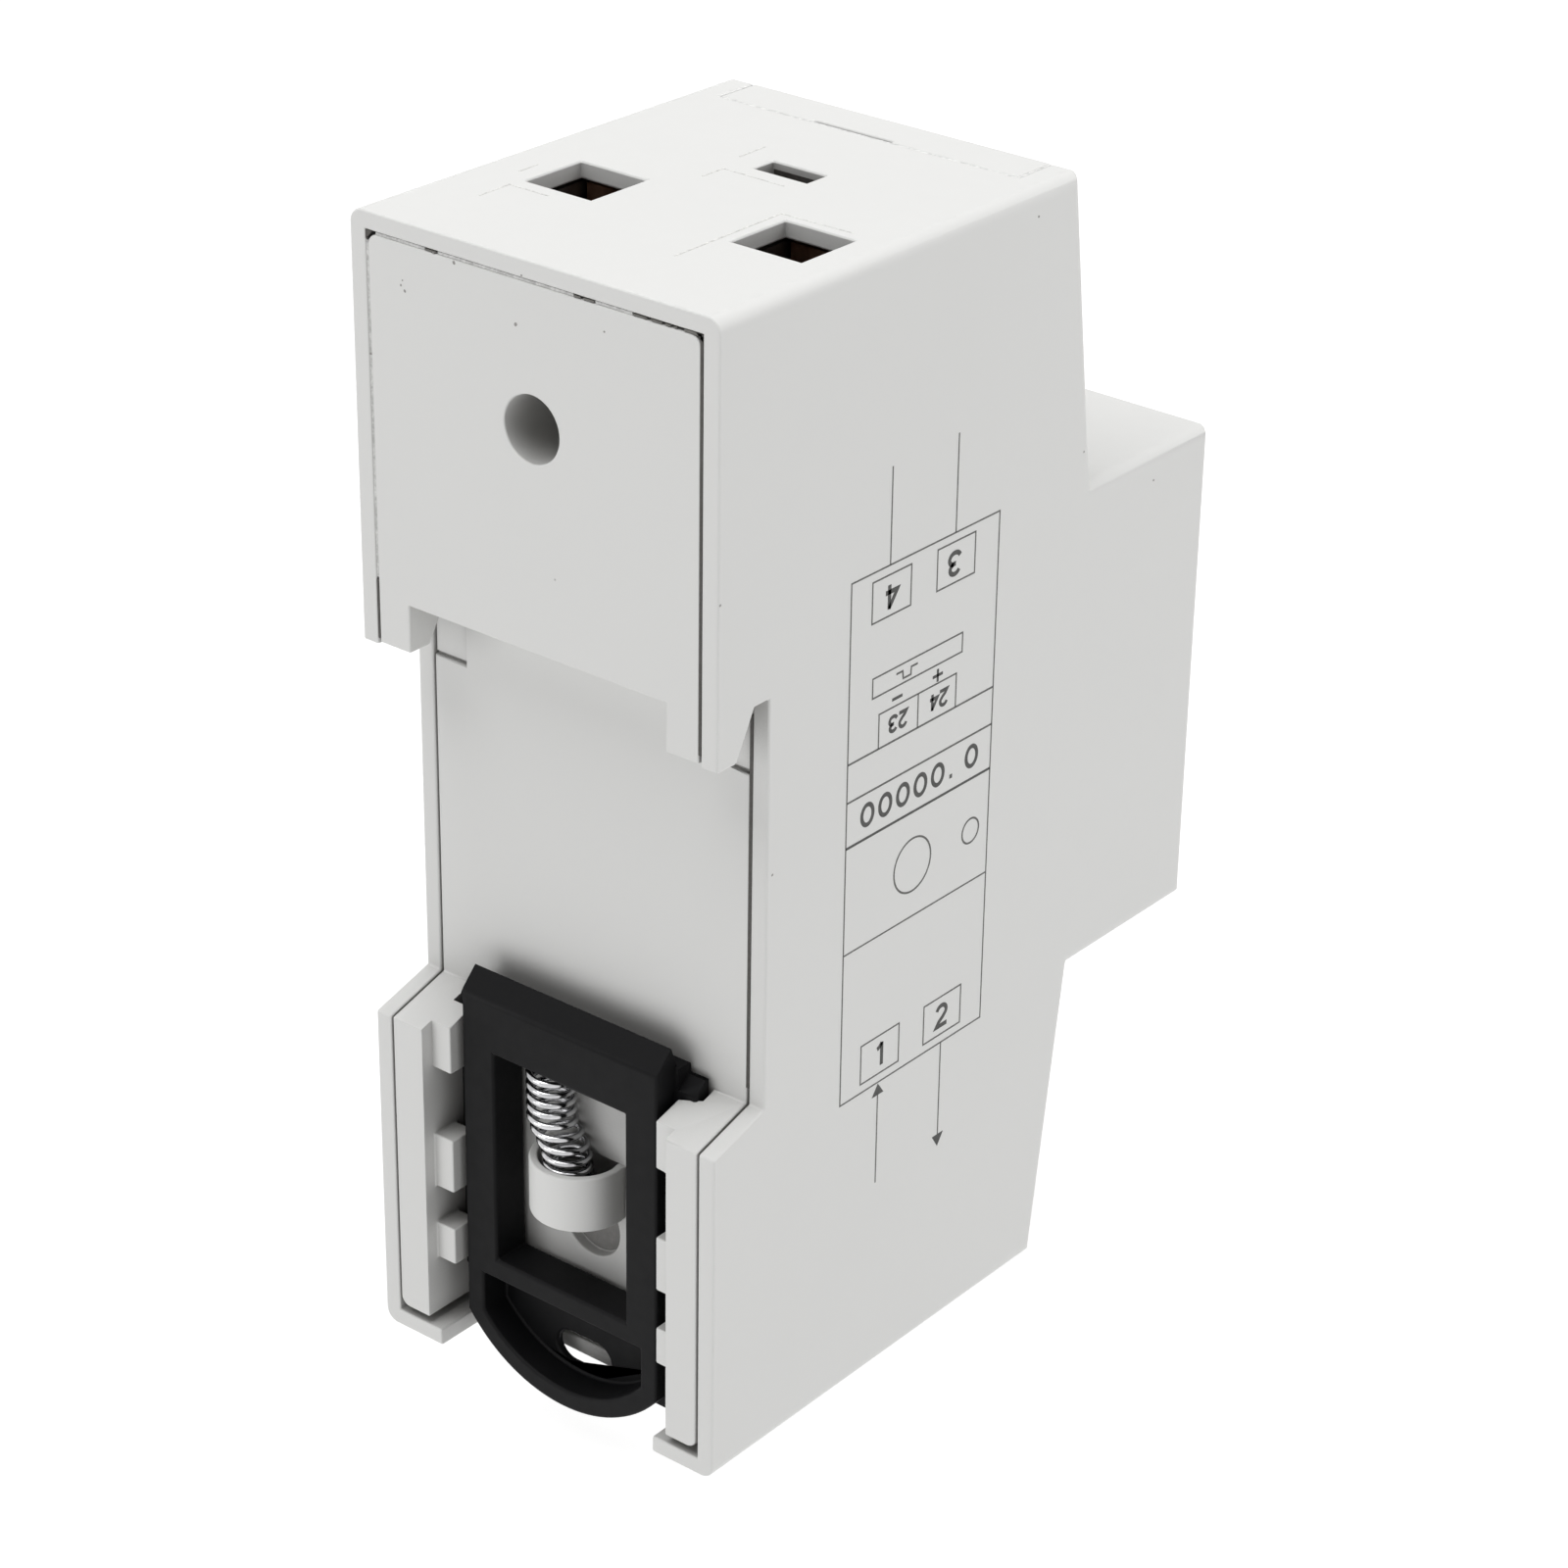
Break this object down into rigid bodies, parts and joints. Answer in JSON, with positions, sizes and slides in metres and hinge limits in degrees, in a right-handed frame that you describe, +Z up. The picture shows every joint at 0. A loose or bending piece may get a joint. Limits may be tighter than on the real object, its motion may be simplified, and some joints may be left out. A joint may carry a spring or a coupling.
{
  "type": "din rail energy meter",
  "caption": "Two-module energy meter for a 35 mm top hat rail, with display nose, terminal covers, cage clamps and a sprung black rail latch.",
  "frame": {"origin": "centre of the flat face that seats on the rail, at mid height and mid width of the meter", "axes": "+Y out of the seat towards the rail, -Y towards the display, +Z up with the latch at the bottom, +X to the right seen from the front"},
  "size_m": [0.036, 0.064, 0.101],
  "materials": {
    "housing": "fine matt moulded housing plastic",
    "latch": "black moulded nylon, satin",
    "spring": "bright spring steel wire",
    "window": "clear polycarbonate",
    "lcd": "grey green display glass",
    "tray": "white plastic",
    "label": "plain matt film",
    "lens": "clear moulded plastic",
    "lamp": "red lamp body",
    "cage": "zinc plated steel",
    "screw": "zinc plated steel",
    "current_bar": "copper bar",
    "brass": "brass",
    "block": "black plastic",
    "board": "green circuit board",
    "pins": "gilded pins in a black strip",
    "capacitor_box": "yellow box capacitor",
    "can": "sleeved aluminium can",
    "varistor": "blue dipped disc",
    "resistor": "grey green lacquer",
    "chip": "black epoxy",
    "crystal": "steel can"
  },
  "bodies": {
    "root": {"outer_case": "housing", "back_base": "housing", "latch_spring": "spring", "upper_terminal_cover": "housing", "lower_terminal_cover": "housing", "display_window": "window", "lcd_glass": "lcd", "lcd_holder": "tray", "front_label": "label", "optical_port_lens": "lens", "optical_pair": "chip", "pulse_light_pipe": "lens", "pulse_lamp": "lamp", "shunt_bar": "current_bar", "neutral_bar": "current_bar", "pulse_terminal_block": "block", "pulse_terminal_cages": "brass", "pulse_terminal_screws": "screw", "main_board": "board", "display_board": "board", "board_connector": "pins", "film_capacitor": "capacitor_box", "smoothing_capacitor": "can", "varistor": "varistor", "dropper_resistor": "resistor", "metering_chip": "chip", "quartz_crystal": "crystal", "optocoupler": "chip", "bridge_rectifier": "chip"},
    "latch": {"rail_latch": "latch"},
    "screw_1": {"clamp_screw_1": "screw"},
    "cage_1": {"clamp_cage_1": "cage"},
    "screw_2": {"clamp_screw_2": "screw"},
    "cage_2": {"clamp_cage_2": "cage"},
    "screw_3": {"clamp_screw_3": "screw"},
    "cage_3": {"clamp_cage_3": "cage"},
    "screw_4": {"clamp_screw_4": "screw"},
    "cage_4": {"clamp_cage_4": "cage"}
  },
  "joints": [
    {"name": "latch_slide", "type": "slide", "parent": "root", "child": "latch", "axis": [0, 0, -1], "range_m": [0, 0.004], "stiffness_N_per_m": 800, "springref_m": -0.003, "deforming": ["latch_spring"]},
    {"name": "screw_1_turn", "type": "hinge", "parent": "root", "child": "screw_1", "pos_m": [-0.01135, -0.0287, -0.04345], "axis": [0, 1, 0], "range_deg": [0, 2791]},
    {"name": "cage_1_lift", "type": "slide", "parent": "root", "child": "cage_1", "axis": [0, -1, 0], "range_m": [0, 0.0062]},
    {"name": "screw_2_turn", "type": "hinge", "parent": "root", "child": "screw_2", "pos_m": [0.00895, -0.0287, -0.04345], "axis": [0, 1, 0], "range_deg": [0, 2791]},
    {"name": "cage_2_lift", "type": "slide", "parent": "root", "child": "cage_2", "axis": [0, -1, 0], "range_m": [0, 0.0062]},
    {"name": "screw_3_turn", "type": "hinge", "parent": "root", "child": "screw_3", "pos_m": [0.00895, -0.0287, 0.04345], "axis": [0, 1, 0], "range_deg": [0, 2791]},
    {"name": "cage_3_lift", "type": "slide", "parent": "root", "child": "cage_3", "axis": [0, -1, 0], "range_m": [0, 0.0062]},
    {"name": "screw_4_turn", "type": "hinge", "parent": "root", "child": "screw_4", "pos_m": [-0.01135, -0.0287, 0.04345], "axis": [0, 1, 0], "range_deg": [0, 2791]},
    {"name": "cage_4_lift", "type": "slide", "parent": "root", "child": "cage_4", "axis": [0, -1, 0], "range_m": [0, 0.0062]}
  ],
  "couplings": [
    {"joint": "screw_1_turn", "follows": "cage_1_lift", "rad_per_m": 7854},
    {"joint": "screw_2_turn", "follows": "cage_2_lift", "rad_per_m": 7854},
    {"joint": "screw_3_turn", "follows": "cage_3_lift", "rad_per_m": 7854},
    {"joint": "screw_4_turn", "follows": "cage_4_lift", "rad_per_m": 7854}
  ]
}
